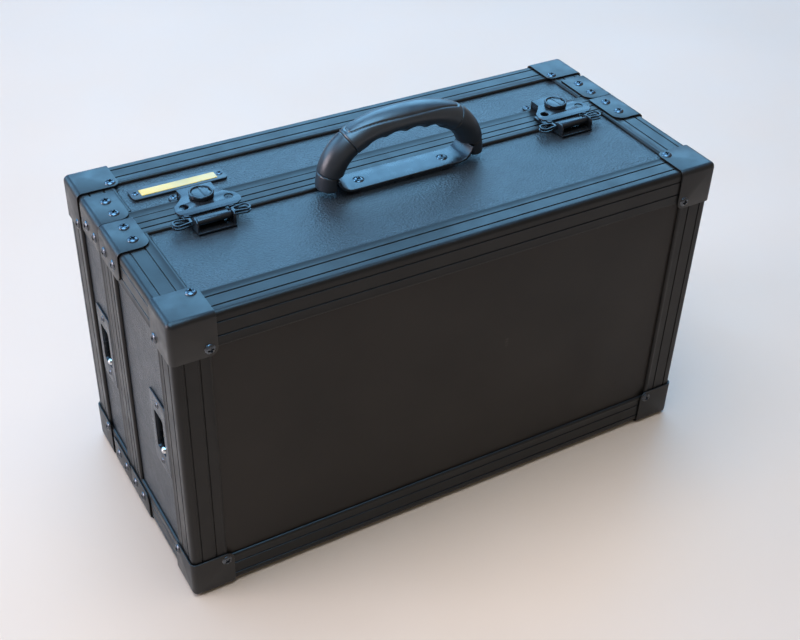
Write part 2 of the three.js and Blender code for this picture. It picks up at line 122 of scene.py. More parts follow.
def build(vertices, faces):
    """A mesh from points in millimetres, with doubled points merged and faces turned out."""
    form = bmesh.new()
    made = [form.verts.new(Vector(v) * MM) for v in vertices]
    for face in faces:
        form.faces.new([made[i] for i in face])
    bmesh.ops.remove_doubles(form, verts=form.verts, dist=1e-6)
    bmesh.ops.dissolve_degenerate(form, edges=form.edges, dist=1e-6)
    bmesh.ops.recalc_face_normals(form, faces=form.faces)
    mesh = bpy.data.meshes.new("form")
    form.to_mesh(mesh)
    form.free()
    return mesh


def moved(mesh, matrix):
    """A copy of a mesh, moved by a matrix in millimetres and turned out again if mirrored."""
    copy = mesh.copy()
    matrix = matrix.copy()
    matrix.translation *= MM
    copy.transform(matrix)
    if matrix.determinant() < 0:
        copy.flip_normals()
    return copy


def shift(x, y, z):
    return Matrix.Translation((x, y, z))


def joined(meshes):
    form = bmesh.new()
    for mesh in meshes:
        form.from_mesh(mesh)
    made = bpy.data.meshes.new("form")
    form.to_mesh(made)
    form.free()
    return made


def evaluated(thing):
    graph = bpy.context.evaluated_depsgraph_get()
    return bpy.data.meshes.new_from_object(thing.evaluated_get(graph))


def modified(mesh, *steps):
    """A mesh after modifiers, each given as (kind, settings)."""
    thing = bpy.data.objects.new("work", mesh)
    bpy.context.scene.collection.objects.link(thing)
    for kind, settings in steps:
        modifier = thing.modifiers.new(kind, kind)
        for key, value in settings.items():
            setattr(modifier, key, value)
    made = evaluated(thing)
    bpy.data.objects.remove(thing)
    return made


def bevel(width, segments=2, angle=40):
    return ("BEVEL", {
        "width": width * MM, "segments": segments, "limit_method": "ANGLE",
        "angle_limit": math.radians(angle), "use_clamp_overlap": True,
    })


def without(mesh, *cutters):
    """A closed mesh less some closed meshes."""
    tool = bpy.data.objects.new("tool", joined(cutters))
    bpy.context.scene.collection.objects.link(tool)
    made = modified(mesh, ("BOOLEAN", {"operation": "DIFFERENCE", "solver": "EXACT", "object": tool,
                                       "use_self": len(cutters) > 1}))
    bpy.data.objects.remove(tool)
    return made


def place(name, mesh, finish, body, nodes=(), smooth=32):
    """Shows a mesh as a piece that rides on a body and stands for some CAD nodes."""
    mesh.name = name
    mesh.shade_smooth()
    mesh.set_sharp_from_angle(angle=math.radians(smooth))
    mesh.materials.clear()
    mesh.materials.append(finish)
    piece = bpy.data.objects.new(name, mesh)
    bpy.context.scene.collection.objects.link(piece)
    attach(piece, body)
    if nodes:
        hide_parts(*nodes)


def lofted(rings, closed=False):
    """Faces over rings of equal length. A closed loft joins its last ring to its first."""
    count = len(rings[0])
    vertices = [point for ring in rings for point in ring]
    faces = []
    for r in range(len(rings) - (0 if closed else 1)):
        here, there = r * count, (r + 1) % len(rings) * count
        for s in range(count):
            t = (s + 1) % count
            faces.append((here + s, here + t, there + t, there + s))
    if not closed:
        faces.append(tuple(range(count)))
        faces.append(tuple(range((len(rings) - 1) * count, len(rings) * count)))
    return build(vertices, faces)


def block(x, y, z, edge=0.3, segments=2):
    """A box over three stretches, with softened edges."""
    outline = [(x[0], y[0]), (x[1], y[0]), (x[1], y[1]), (x[0], y[1])]
    mesh = lofted([[(a, b, height) for a, b in outline] for height in z])
    return modified(mesh, bevel(edge, segments)) if edge else mesh


def lathe(profile, steps=32):
    """A solid of revolution about Z from (radius, height) points that start and end on the axis."""
    rings = []
    for i in range(steps):
        angle = 2 * math.pi * i / steps
        rings.append([(r * math.cos(angle), r * math.sin(angle), z) for r, z in profile])
    return lofted(rings, closed=True)


def rounded(corners, steps=5):
    """An outline from (x, y, radius) corners, each rounded by an arc."""
    points = []
    for i, (x, y, radius) in enumerate(corners):
        here = Vector((x, y))
        if radius == 0:
            points.append((x, y))
            continue
        before = (Vector(corners[i - 1][:2]) - here).normalized()
        after = (Vector(corners[(i + 1) % len(corners)][:2]) - here).normalized()
        half = before.angle(after) / 2
        reach = radius / math.tan(half)
        centre = here + (before + after).normalized() * radius / math.sin(half)
        start = here + before * reach - centre
        end = here + after * reach - centre
        first = math.atan2(start.y, start.x)
        turn = (math.atan2(end.y, end.x) - first + math.pi) % (2 * math.pi) - math.pi
        for s in range(steps + 1):
            angle = first + turn * s / steps
            points.append((centre.x + radius * math.cos(angle), centre.y + radius * math.sin(angle)))
    return points


def ring(x, y, radius, steps=28):
    return [(x + radius * math.cos(2 * math.pi * i / steps), y + radius * math.sin(2 * math.pi * i / steps))
            for i in range(steps)]


def oblong(x, y, radius):
    """A rectangle over two stretches with rounded corners."""
    return rounded([(x[0], y[0], radius), (x[1], y[0], radius), (x[1], y[1], radius), (x[0], y[1], radius)])


def sheet(outline, z, holes=(), edge=0.2):
    """Sheet metal between two heights from an outline in X and Y, with holes and softened edges."""
    curve = bpy.data.curves.new("outline", "CURVE")
    curve.dimensions = "2D"
    curve.fill_mode = "BOTH"
    for points in [outline, *holes]:
        spline = curve.splines.new("POLY")
        spline.points.add(len(points) - 1)
        for point, (x, y) in zip(spline.points, points):
            point.co = (x * MM, y * MM, 0, 1)
        spline.use_cyclic_u = True
    thick = z[1] - z[0]
    curve.extrude = (thick / 2 - edge) * MM
    curve.bevel_depth = edge * MM
    curve.bevel_resolution = 1
    curve.offset = -edge * MM
    thing = bpy.data.objects.new("outline", curve)
    bpy.context.scene.collection.objects.link(thing)
    mesh = evaluated(thing)
    bpy.data.objects.remove(thing)
    form = bmesh.new()
    form.from_mesh(mesh)
    bmesh.ops.remove_doubles(form, verts=form.verts, dist=1e-6)
    bmesh.ops.recalc_face_normals(form, faces=form.faces)
    form.to_mesh(mesh)
    form.free()
    return moved(mesh, shift(0, 0, (z[0] + z[1]) / 2))


# Turns the XY plane of a sheet to face along another axis: (x, y, z) to (z, x, y) for X.
ALONG_X = Matrix(((0, 0, 1, 0), (1, 0, 0, 0), (0, 1, 0, 0), (0, 0, 0, 1)))


# ---------- materials ----------
class Nodes:
    """A material's node tree, with short calls for the nodes that the finishes share."""

    def __init__(self, name):
        self.material = bpy.data.materials.new(name)
        self.material.use_nodes = True
        self.tree = self.material.node_tree
        self.shader = self.tree.nodes["Principled BSDF"]
        self.where = self.add("ShaderNodeTexCoord").outputs["Object"]

    def add(self, kind, **settings):
        node = self.tree.nodes.new(kind)
        for key, value in settings.items():
            setattr(node, key, value)
        return node

    def link(self, source, target):
        self.tree.links.new(source, target)

    def stretched(self, factors):
        node = self.add("ShaderNodeMapping")
        node.inputs["Scale"].default_value = factors
        self.link(self.where, node.inputs["Vector"])
        return node.outputs["Vector"]

    def noise(self, scale, detail=4, rough=0.5, at=None):
        node = self.add("ShaderNodeTexNoise")
        node.inputs["Scale"].default_value = scale
        node.inputs["Detail"].default_value = detail
        node.inputs["Roughness"].default_value = rough
        self.link(at or self.where, node.inputs["Vector"])
        return node.outputs["Fac"]

    def cells(self, scale):
        node = self.add("ShaderNodeTexVoronoi", feature="SMOOTH_F1")
        node.inputs["Scale"].default_value = scale
        self.link(self.where, node.inputs["Vector"])
        return node.outputs["Distance"]

    def spread(self, value, low_in, high_in, low_out, high_out):
        node = self.add("ShaderNodeMapRange")
        for key, number in zip(("From Min", "From Max", "To Min", "To Max"),
                               (low_in, high_in, low_out, high_out)):
            node.inputs[key].default_value = number
        self.link(value, node.inputs["Value"])
        return node.outputs["Result"]

    def combine(self, operation, a, b):
        node = self.add("ShaderNodeMath", operation=operation)
        for socket, value in zip(node.inputs, (a, b)):
            if isinstance(value, (int, float)):
                socket.default_value = value
            else:
                self.link(value, socket)
        return node.outputs["Value"]

    def colours(self, factor, first, second):
        node = self.add("ShaderNodeMix", data_type="RGBA")
        node.inputs["A"].default_value = (*first, 1)
        node.inputs["B"].default_value = (*second, 1)
        self.link(factor, node.inputs["Factor"])
        return node.outputs["Result"]

    def over(self, base, factor, colour):
        node = self.add("ShaderNodeMix", data_type="RGBA")
        node.inputs["B"].default_value = (*colour, 1)
        self.link(base, node.inputs["A"])
        self.link(factor, node.inputs["Factor"])
        return node.outputs["Result"]

    def bump(self, height, depth):
        node = self.add("ShaderNodeBump")
        node.inputs["Distance"].default_value = depth * MM
        node.inputs["Strength"].default_value = 1
        self.link(height, node.inputs["Height"])
        self.link(node.outputs["Normal"], self.shader.inputs["Normal"])

    def set(self, **values):
        for key, value in values.items():
            self.shader.inputs[key.replace("_", " ")].default_value = value

    def into(self, socket, value):
        self.link(value, self.shader.inputs[socket])


def shade(colour, by):
    return tuple(channel * by for channel in colour)


def pebbled(name, colour, roughness, grain, depth):
    """Laminate with a pebble grain: rounded cells of uneven size over a slow waviness."""
    made = Nodes(name)
    cells = made.cells(1000 / grain)
    fine = made.noise(2600 / grain, 3)
    broad = made.noise(22, 3)
    height = made.combine("ADD", made.combine("MULTIPLY", cells, 0.8), made.combine("MULTIPLY", fine, 0.5))
    made.bump(height, depth)
    made.into("Base Color", made.colours(made.spread(broad, 0.3, 0.7, 0, 1),
                                         shade(colour, 0.85), shade(colour, 1.15)))
    made.into("Roughness", made.spread(made.noise(60, 4), 0.3, 0.7, roughness - 0.05, roughness + 0.06))
    return made


def smooth_laminate(name, colour, roughness, sheen):
    """The large faces: a nearly smooth laminate with faint short scuffs."""
    made = Nodes(name)
    fine = made.noise(1500, 3)
    broad = made.noise(9, 4)
    scuff = made.noise(38, 2, at=made.stretched((1, 1, 0.28)))
    streak = made.noise(420, 2, at=made.stretched((0.25, 1, 1)))
    marks = made.combine("MULTIPLY", made.spread(scuff, 0.69, 0.73, 0, 1),
                         made.spread(streak, 0.55, 0.66, 0, 1))
    base = made.colours(made.spread(broad, 0.3, 0.7, 0, 1), shade(colour, 0.85), shade(colour, 1.2))
    made.into("Base Color", made.over(base, made.combine("MULTIPLY", marks, 0.22), (0.16, 0.14, 0.12)))
    made.into("Roughness", made.spread(made.noise(14, 5), 0.3, 0.7, roughness - 0.06, roughness + 0.06))
    made.bump(fine, 0.012)
    made.set(Specular_IOR_Level=sheen)
    return made


def coated(name, colour, roughness, metallic=0.0, grain=900, depth=0.012, wear=0.0, sheen=0.5):
    """Coated metal or moulded plastic: a fine orange peel, uneven sheen and rubbed spots."""
    made = Nodes(name)
    peel = made.noise(grain, 3)
    broad = made.noise(35, 4)
    base = made.colours(made.spread(broad, 0.3, 0.7, 0, 1), shade(colour, 0.85), shade(colour, 1.18))
    if wear:
        rubbed = made.spread(made.noise(160, 6, 0.7), 0.68, 0.76, 0, wear)
        base = made.over(base, rubbed, (0.12, 0.125, 0.13))
    made.into("Base Color", base)
    made.into("Roughness", made.spread(made.noise(90, 4), 0.3, 0.7, roughness - 0.06, roughness + 0.08))
    made.bump(peel, depth)
    made.set(Metallic=metallic, Specular_IOR_Level=sheen)
    return made


def drawn_metal(name, colour, roughness, sheen):
    """Anodised extrusion: fine die lines and a satin sheen."""
    made = Nodes(name)
    lines = [made.noise(1, 2, at=made.stretched(factors))
             for factors in ((12, 1700, 1700), (1700, 12, 1700), (1700, 1700, 12))]
    drawn = made.combine("ADD", lines[0], made.combine("ADD", lines[1], lines[2]))
    broad = made.noise(28, 4)
    made.into("Base Color", made.colours(made.spread(broad, 0.3, 0.7, 0, 1),
                                         shade(colour, 0.85), shade(colour, 1.15)))
    made.into("Roughness", made.spread(made.noise(70, 3), 0.3, 0.7, roughness - 0.05, roughness + 0.06))
    made.bump(drawn, 0.006)
    made.set(Metallic=0.12, Specular_IOR_Level=sheen)
    return made


def label_field(name):
    made = coated(name, (0.66, 0.50, 0.06), 0.35, grain=600, depth=0.01)
    made.set(Coat_Weight=0.3)
    return made


PEBBLE = pebbled("pebble laminate", (0.020, 0.025, 0.031), 0.34, 1.7, 0.65).material
FACE = smooth_laminate("smooth laminate", (0.013, 0.010, 0.0075), 0.46, 0.28).material
TRIM = drawn_metal("anodised trim", (0.013, 0.0125, 0.012), 0.36, 0.28).material
CAP = coated("powder coat", (0.012, 0.0115, 0.011), 0.36, grain=1300, depth=0.015, sheen=0.40).material
STEEL = coated("coated steel", (0.022, 0.027, 0.034), 0.26, 0.4, wear=0.5).material
STRAP = coated("strap steel", (0.026, 0.032, 0.041), 0.29, 0.22, grain=500, depth=0.008).material
MOULDING = coated("moulded plastic", (0.022, 0.028, 0.036), 0.36, grain=1500, depth=0.012).material
GRIP = coated("soft grip", (0.022, 0.030, 0.040), 0.36, grain=2200, depth=0.03, sheen=0.75).material
SCREW = coated("screw", (0.10, 0.11, 0.125), 0.24, 0.9, grain=700, depth=0.01, wear=0.8).material
PALE_SCREW = coated("pale screw", (0.16, 0.18, 0.20), 0.28, 0.9, grain=700, depth=0.01, wear=0.8).material
BRIGHT = coated("bright metal", (0.62, 0.63, 0.65), 0.20, 1.0, grain=300, depth=0.004).material
# Near-black matte for the well behind each end window: painted shade for the recess, darker than the
# bracket's own steel.
RECESS_SHADE = coated("window well painted shade", (0.010, 0.011, 0.013), 0.6, grain=1200, depth=0.03).material
YELLOW = label_field("yellow field").material


# ---------- panels: the CAD's own boards ----------
def finish_panels():
    for name in HALVES:
        frame["nodes"][f"{name}_face_panel"].data.materials.clear()
        frame["nodes"][f"{name}_face_panel"].data.materials.append(FACE)
        for part in (*LEVELS, *SIDES):
            board = frame["nodes"][f"{name}_{part}_panel"].data
            board.materials.clear()
            board.materials.append(PEBBLE)


# ---------- trims ----------
def flange(edge, grooves):
    """The outer line of a flange, from its bend out: distance along it, and depth under it."""
    points = []
    for at in grooves:
        points += [(at - GROOVE["half"], 0), (at - GROOVE["floor"], GROOVE["depth"]),
                   (at + GROOVE["floor"], GROOVE["depth"]), (at + GROOVE["half"], 0)]
    return points + [(edge - 2.8, 0), (edge - 2.4, -0.2), (edge - 1.3, -0.2),
                     (edge - 0.5, 0.1), (edge + 0.1, 0.8), (edge + 0.4, 1.7)]


def quarter(centre, radius, steps=6):
    """Points round a bend, from its side face to its end face, each as (inset, depth)."""
    turn = [math.pi / 2 * i / steps for i in range(steps + 1)]
    return [(centre - radius * math.cos(a), centre - radius * math.sin(a)) for a in turn]


def angle_section():
    """The closed section of an edge trim: distances inwards from its two outer planes."""
    line = flange(TRIM_LEG, TRIM_GROOVES)
    centre = TRIM_INSET + TRIM_BEND
    inner = TRIM_INSET + TRIM_SHEET
    return (
        [(TRIM_INSET + depth, along) for along, depth in reversed(line)]
        + quarter(centre, TRIM_BEND)
        + [(along, TRIM_INSET + depth) for along, depth in line]
        + [(TRIM_LEG, inner)]
        + list(reversed(quarter(centre, TRIM_BEND - TRIM_SHEET)))
        + [(inner, TRIM_LEG)]
    )


def framed(section, steps=5):
    """A section of (inset, y) points swept round the case's outline, with rounded corners."""
    centre = TRIM_INSET + TRIM_BEND
    rings = []
    for number, (side, level) in enumerate([(1, 1), (-1, 1), (-1, -1), (1, -1)]):
        for step in range(steps + 1):
            angle = math.pi / 2 * (number + step / steps)
            points = []
            for inset, y in section:
                core = max(inset, centre)
                reach = core - inset
                points.append((
                    side * (HALF_L - core) + reach * math.cos(angle),
                    y,
                    TOP / 2 + level * (TOP / 2 - core) + reach * math.sin(angle),
                ))
            rings.append(points)
    return lofted(rings, closed=True)


def from_face(half, depth):
    """The Y at some depth under the large face of one half."""
    return half * (HALF_D - depth)


def make_edge_frames():
    for name, half in HALVES.items():
        section = [(inset, from_face(half, depth)) for inset, depth in angle_section()]
        node = f"{name}_edge_frame"
        place(f"{name}_edge_trim", framed(section), TRIM, f"{name}_half", [node])


def make_depth_trims():
    section = angle_section()
    for name in HALVES:
        for level, up in LEVELS.items():
            for side, sign in SIDES.items():
                node = f"{name}_{level}_{side}_trim"
                rings = [[(sign * (HALF_L - inset), y, TOP / 2 + up * (TOP / 2 - depth))
                          for inset, depth in section] for y in (low(node).y, high(node).y)]
                place(f"{name}_{level}_{side}_angle", lofted(rings), TRIM, f"{name}_half",
                      [node])


def hinge_room():
    """The cuts under the case that let the halves swing and the hinge barrels lie in."""
    slot = {"y": 3.8, "z": 3.2, "barrel": 6.4}
    across = (PARTING - slot["y"], PARTING + slot["y"])
    room = [block((-HALF_L - 5, HALF_L + 5), across, (-5, slot["z"]), 0)]
    for side in SIDES:
        node = f"hinge_{side}_front_leaf"
        room.append(block((low(node).x - 1, high(node).x + 1), across, (-4, slot["barrel"]), 0))
    return room


def tongue(y, inset, thick):
    """A three-sided strip, open along the hinge side, between two values of Y."""
    outer = (HALF_L - inset, TOP - inset)
    inner = (HALF_L - inset - thick, TOP - inset - thick)
    foot = 14
    outline = [(-outer[0], foot), (-outer[0], outer[1]), (outer[0], outer[1]), (outer[0], foot),
               (inner[0], foot), (inner[0], inner[1]), (-inner[0], inner[1]), (-inner[0], foot)]
    return lofted([[(x, at, z) for x, z in outline] for at in y])


def make_closures():
    for name, half in HALVES.items():
        edge = CLOSURE_EDGE[name]
        grooves = CLOSURE_GROOVES if half < 0 else []
        line = [(SEAM, SEAM_EASE), (SEAM + SEAM_EASE, 0)] + flange(edge, grooves)
        inner = TRIM_INSET + TRIM_SHEET
        section = [(TRIM_INSET + depth, along) for along, depth in line] + [
            (inner, edge), (inner, CLOSURE_WEB), (WEB_DEPTH, CLOSURE_WEB), (WEB_DEPTH, SEAM)]
        mesh = framed([(inset, PARTING + half * along) for inset, along in section])
        mesh = without(mesh, *hinge_room())
        if half < 0:
            strip = tongue((PARTING - 0.5, PARTING + 3), 6.2, 2)
            mesh = joined([mesh, modified(strip, bevel(0.4))])
        else:
            mesh = without(mesh, tongue((PARTING - 4, PARTING + 3.4), 5.6, 3.2))
        place(f"{name}_closure_trim", mesh, TRIM, f"{name}_half",
              [f"{name}_closure_frame"])


# ---------- corner caps and braces ----------
def pressed(legs, bend):
    """Sheet metal from flat legs that meet in sharp folds, bent, thickened and softened."""
    form = bmesh.new()
    for leg in legs:
        form.faces.new([form.verts.new(Vector(point) * MM) for point in leg])
    bmesh.ops.remove_doubles(form, verts=form.verts, dist=1e-6)
    mesh = bpy.data.meshes.new("form")
    form.to_mesh(mesh)
    form.free()
    return modified(
        mesh,
        ("BEVEL", {"width": bend * MM, "segments": 7, "limit_method": "ANGLE",
                   "angle_limit": math.radians(60)}),
        ("SOLIDIFY", {"thickness": CAP_SHEET * MM, "offset": -1, "use_even_offset": True}),
        bevel(0.35, 2, 50),
    )


def cap_form():
    """A corner cap with its corner at the origin and its legs along the positive axes."""
    leg, corner = CAP_LEG, CAP_CORNER
    flat = rounded([(0, 0, 0), (leg, 0, 0), (leg, leg, corner), (0, leg, 0)], 6)
    return pressed([
        [(a, b, 0) for a, b in reversed(flat)],
        [(0, a, b) for a, b in reversed(flat)],
        [(b, 0, a) for a, b in reversed(flat)],
    ], CAP_BEND)


def brace_form():
    """A brace with its fold along the Y axis, its legs along +X and +Z, rounded at low Y."""
    flat = rounded([(0, 0, 0), (BRACE_LEG, 0, BRACE_CORNER), (BRACE_LEG, BRACE_LENGTH, 0),
                    (0, BRACE_LENGTH, 0)], 6)
    return pressed([
        [(a, b, 0) for a, b in reversed(flat)],
        [(0, b, a) for a, b in flat],
    ], CAP_BEND)


def corner_matrix(side, level, y, turn_y=1):
    at = shift(side * HALF_L, y, TOP / 2 + level * TOP / 2)
    return at @ Matrix.Diagonal((-side, turn_y, -level, 1))


def make_caps_and_braces():
    cap, brace = cap_form(), brace_form()
    for name, half in HALVES.items():
        front = PARTING - SEAM - BRACE_LENGTH if half < 0 else PARTING + SEAM
        for level, up in LEVELS.items():
            for side, sign in SIDES.items():
                label = f"{name}_{level}_{side}"
                place(f"{label}_corner", moved(cap, corner_matrix(sign, up, half * HALF_D, -half)),
                      CAP, f"{name}_half", [f"{label}_cap"])
                mesh = moved(brace, corner_matrix(sign, up, front))
                if up < 0:
                    mesh = without(mesh, *hinge_room())
                place(f"{label}_clamp", mesh, CAP, f"{name}_half", [f"{label}_brace"])


# ---------- screws ----------
def screw_form(radius, height):
    """A domed head on the plane Z = 0 with a cross recess."""
    dome = [(0, height), (0.35 * radius, 0.98 * height), (0.62 * radius, 0.84 * height),
            (0.82 * radius, 0.58 * height), (0.94 * radius, 0.3 * height), (radius, 0.08 * height),
            (radius, -0.3), (0, -0.3)]
    head = lathe(dome, 28)
    arm, width, floor = 0.54 * radius, 0.19 * radius, 0.12 * height
    cross = [block((-arm, arm), (-width, width), (floor, height + 1), 0),
             block((-width, width), (-arm, arm), (floor, height + 1), 0)]
    return without(head, *cross)


BRACE_SCREWS = {"inset": 16.7, "from_parting": (10.6, 29.0)}
SUNK = 1.75           # screws under the case are raised this much, into their caps and braces
BIG = screw_form(4.2, 1.7)
SMALL = screw_form(2.7, 1.1)


def screw_at(form, point, axis, turn=0.0):
    """A screw head at a point, facing along an axis, turned by an angle about it."""
    facing = Vector((0, 0, 1)).rotation_difference(Vector(axis)).to_matrix().to_4x4()
    return moved(form, shift(*point) @ facing @ Matrix.Rotation(turn, 4, "Z"))


def make_case_screws():
    """The screws of the caps and braces. Those under the case are sunk flush."""
    at_cap = CAP_LEG - CAP_CORNER
    at_brace = BRACE_SCREWS["inset"]
    for name, half in HALVES.items():
        caps, braces = [], []
        for up in LEVELS.values():
            z = TOP / 2 + up * TOP / 2
            sunk = z + SUNK if up < 0 else z
            for sign in SIDES.values():
                turn = 0.7 * (2 + sign + 2 * up + half)
                side_z = TOP / 2 + up * (TOP / 2 - at_cap)
                x, y = sign * (HALF_L - at_cap), half * (HALF_D - at_cap)
                caps += [screw_at(BIG, (x, y, sunk), (0, 0, up), turn),
                         screw_at(BIG, (sign * HALF_L, y, side_z), (sign, 0, 0), turn + 1),
                         screw_at(BIG, (x, half * HALF_D, side_z), (0, half, 0), turn + 2)]
                side_z = TOP / 2 + up * (TOP / 2 - at_brace)
                for number, away in enumerate(BRACE_SCREWS["from_parting"]):
                    y = PARTING + half * away
                    turn += 1.3 + number
                    braces += [
                        screw_at(BIG, (sign * (HALF_L - at_brace), y, sunk), (0, 0, up), turn),
                        screw_at(BIG, (sign * HALF_L, y, side_z), (sign, 0, 0), turn + 0.6)]
        place(f"{name}_cap_screws", joined(caps), SCREW, f"{name}_half")
        place(f"{name}_brace_screws", joined(braces), SCREW, f"{name}_half")


# ---------- hinges ----------
def make_hinge_screws():
    """Flush screws in the leaves under the case; the leaves are the CAD's own."""
    row = {"front": 14, "back": 17.5}
    for name, half in HALVES.items():
        heads = []
        for side in SIDES:
            node = f"hinge_{side}_{name}_leaf"
            frame["nodes"][node].data.materials.clear()
            frame["nodes"][node].data.materials.append(STEEL)
            middle = (low(node).x + high(node).x) / 2
            for away in (-22, 0, 22):
                point = (middle + away, PARTING + half * row[name], low(node).z + 0.85)
                heads.append(screw_at(SMALL, point, (0, 0, -1), away))
        place(f"{name}_hinge_screws", joined(heads), SCREW, f"{name}_half")


# ---------- handle ----------
HANDLE_MIDDLE = Vector(((low("handle_grip").x + high("handle_grip").x) / 2,
                        (low("handle_grip").y + high("handle_grip").y) / 2, TOP))
ARCH = {"span": 65, "rise": 46.2, "power": 2.35}
SEAM_HEIGHT = 13
RING_X = 46.5
FOOT_HEIGHT = 1.6
LEG_ROOM = 61.3       # the legs are open inside this distance, for the strap's curled ends
STRAP_SCREW_X = 37.75
PAD = {"x": 41, "front": 11, "back": 7}


def arch_table(count=1600):
    """The grip's centre line as (distance along it, point, direction), from right to left."""
    bend = 2 / ARCH["power"]
    points = []
    for i in range(count + 1):
        angle = math.pi * i / count
        c, s = math.cos(angle), math.sin(angle)
        across = math.copysign(abs(c) ** bend, c) * ARCH["span"]
        points.append(Vector((across, 0, abs(s) ** bend * ARCH["rise"])))
    table, run = [], 0.0
    for i, point in enumerate(points):
        before, after = points[max(i - 1, 0)], points[min(i + 1, count)]
        if i:
            run += (point - points[i - 1]).length
        table.append((run, point, (after - before).normalized()))
    return table


TABLE = arch_table()
HALF_RUN = TABLE[-1][0] / 2


def on_arch(distance):
    """The point and direction at a distance from the middle of the arch, positive to the left."""
    wanted = min(max(distance + HALF_RUN, 0), 2 * HALF_RUN)
    first, last = 0, len(TABLE) - 1
    while last - first > 1:
        middle = (first + last) // 2
        first, last = (middle, last) if TABLE[middle][0] <= wanted else (first, middle)
    a, b = TABLE[first], TABLE[last]
    share = (wanted - a[0]) / (b[0] - a[0])
    return a[1].lerp(b[1], share), a[2].lerp(b[2], share).normalized()


def distance_where(test):
    """How far from the middle the arch first passes a test, on its right half."""
    return next(HALF_RUN - run for run, point, _ in TABLE if test(point))


RING_AT = distance_where(lambda p: p.x < RING_X)
SEAM_AT = distance_where(lambda p: p.z > SEAM_HEIGHT)
FOOT_AT = distance_where(lambda p: p.z > FOOT_HEIGHT)


def swept(start, end, section, rings, sides):
    """A closed sweep along the arch. section(distance, angle) gives the across and out radii
    and how far the centre moves out. The angle turns from +Y through the handle's outer side."""
    loops = []
    for i in range(rings + 1):
        distance = start + (end - start) * i / rings
        point, along = on_arch(distance)
        out = along.cross(Vector((0, 1, 0))).normalized() * -1
        if out.dot(point - Vector((0, 0, 8))) < 0:
            out = -out
        loop = []
        for s in range(sides):
            angle = 2 * math.pi * s / sides
            across, away, outward = section(distance, angle)
            loop.append(HANDLE_MIDDLE + point + Vector((0, across * math.cos(angle), 0))
                        + out * (away * math.sin(angle) + outward))
        loops.append(loop)
    return lofted(loops)


def eased(distance, start, end, depth=0.8, reach=1.2):
    """How much a section shrinks near either end of its stretch, for the rounded parting lines."""
    near = max(0.0, 1 - min(abs(distance - start), abs(end - distance)) / reach)
    return depth * near * near


STRIP = {"end": 3.6, "swell": 6.6, "corner": 2.6, "line": 0.5, "depth": 0.7}
SCALLOP = {"pitch": 19.0, "depth": 1.9, "count": 4}


def strip_line(distance, side):
    """Distance from the outline of the strip let into the grip's top, negative inside it.
    The strip is broad in the middle and narrows to rounded ends."""
    corner = STRIP["corner"]
    share = min(1.0, abs(distance) / RING_AT)
    half_width = STRIP["end"] + STRIP["swell"] * (1 - share ** 2.4)
    dx = max(abs(distance) - (RING_AT - 3.4) + corner, 0)
    dy = max(abs(side) - half_width + corner, 0)
    return math.hypot(dx, dy) - corner


def grip_section(distance, angle):
    across, out = 12.0, 10.9
    shrink = eased(distance, -RING_AT, RING_AT)
    up = math.sin(angle)
    if up > 0:
        away = strip_line(distance, across * math.cos(angle))
        shrink += STRIP["depth"] * math.exp(-((away / STRIP["line"]) ** 2))
    else:
        scallops = SCALLOP["pitch"] * SCALLOP["count"] / 2
        fade = min(1.0, max(0.0, (scallops + 2 - abs(distance)) / 4))
        wave = abs(math.sin(math.pi * distance / SCALLOP["pitch"]))
        shrink += SCALLOP["depth"] * fade * wave * min(1.0, -up * 1.25) ** 2
    return across - shrink, out - shrink, 0


def elbow_section(distance, angle):
    shrink = eased(distance, RING_AT, SEAM_AT)
    low_down = (distance - RING_AT) / (SEAM_AT - RING_AT)
    inward = -1.1 * low_down
    return 11.7 - 0.4 * low_down - shrink, 10.7 - 0.1 * low_down - shrink, inward


def shoe_section(distance, angle):
    shrink = eased(distance, SEAM_AT, FOOT_AT, 0.7)
    return 10.6 - shrink, 8.9 - shrink, 0


def strap_outline():
    """The strap's edge seen from the front: flat, with both ends curled up inside the legs."""
    flat, inside, outside, top = 47, 12, 14, 1.1
    turn = [math.pi / 2 * (1 - 0.1) * i / 9 for i in range(10)]
    inner = [(flat + inside * math.sin(a), top + inside * (1 - math.cos(a))) for a in turn]
    outer = [(flat + outside * math.sin(a), top + inside - outside * math.cos(a)) for a in reversed(turn)]
    right = inner + outer
    return right + [(-x, z) for x, z in reversed(right)]


def make_grip_and_legs(width):
    step = 0.5
    grip = swept(-RING_AT + 0.1, RING_AT - 0.1, grip_section, int(2 * RING_AT / step), 128)
    place("handle_grip_sleeve", grip, GRIP, "front_half", ["handle_grip"])
    x, y = HANDLE_MIDDLE.x, HANDLE_MIDDLE.y
    room = block((x - LEG_ROOM, x + LEG_ROOM), (y - width / 2 - 0.3, y + width / 2 + 0.3),
                 (TOP - 20, TOP + 13.4), 0)
    for side, sign in SIDES.items():
        elbow = without(swept(RING_AT + 0.1, SEAM_AT - 0.1, elbow_section, 90, 64), room)
        shoe = without(swept(SEAM_AT + 0.1, FOOT_AT - 0.1, shoe_section, 34, 64), room)
        mesh = joined([elbow, shoe])
        if sign > 0:
            mesh = moved(mesh, shift(2 * x, 0, 0) @ Matrix.Diagonal((-1, 1, 1, 1)))
        place(f"handle_{side}_leg", mesh, MOULDING, "front_half",
              [f"handle_{side}_elbow"])


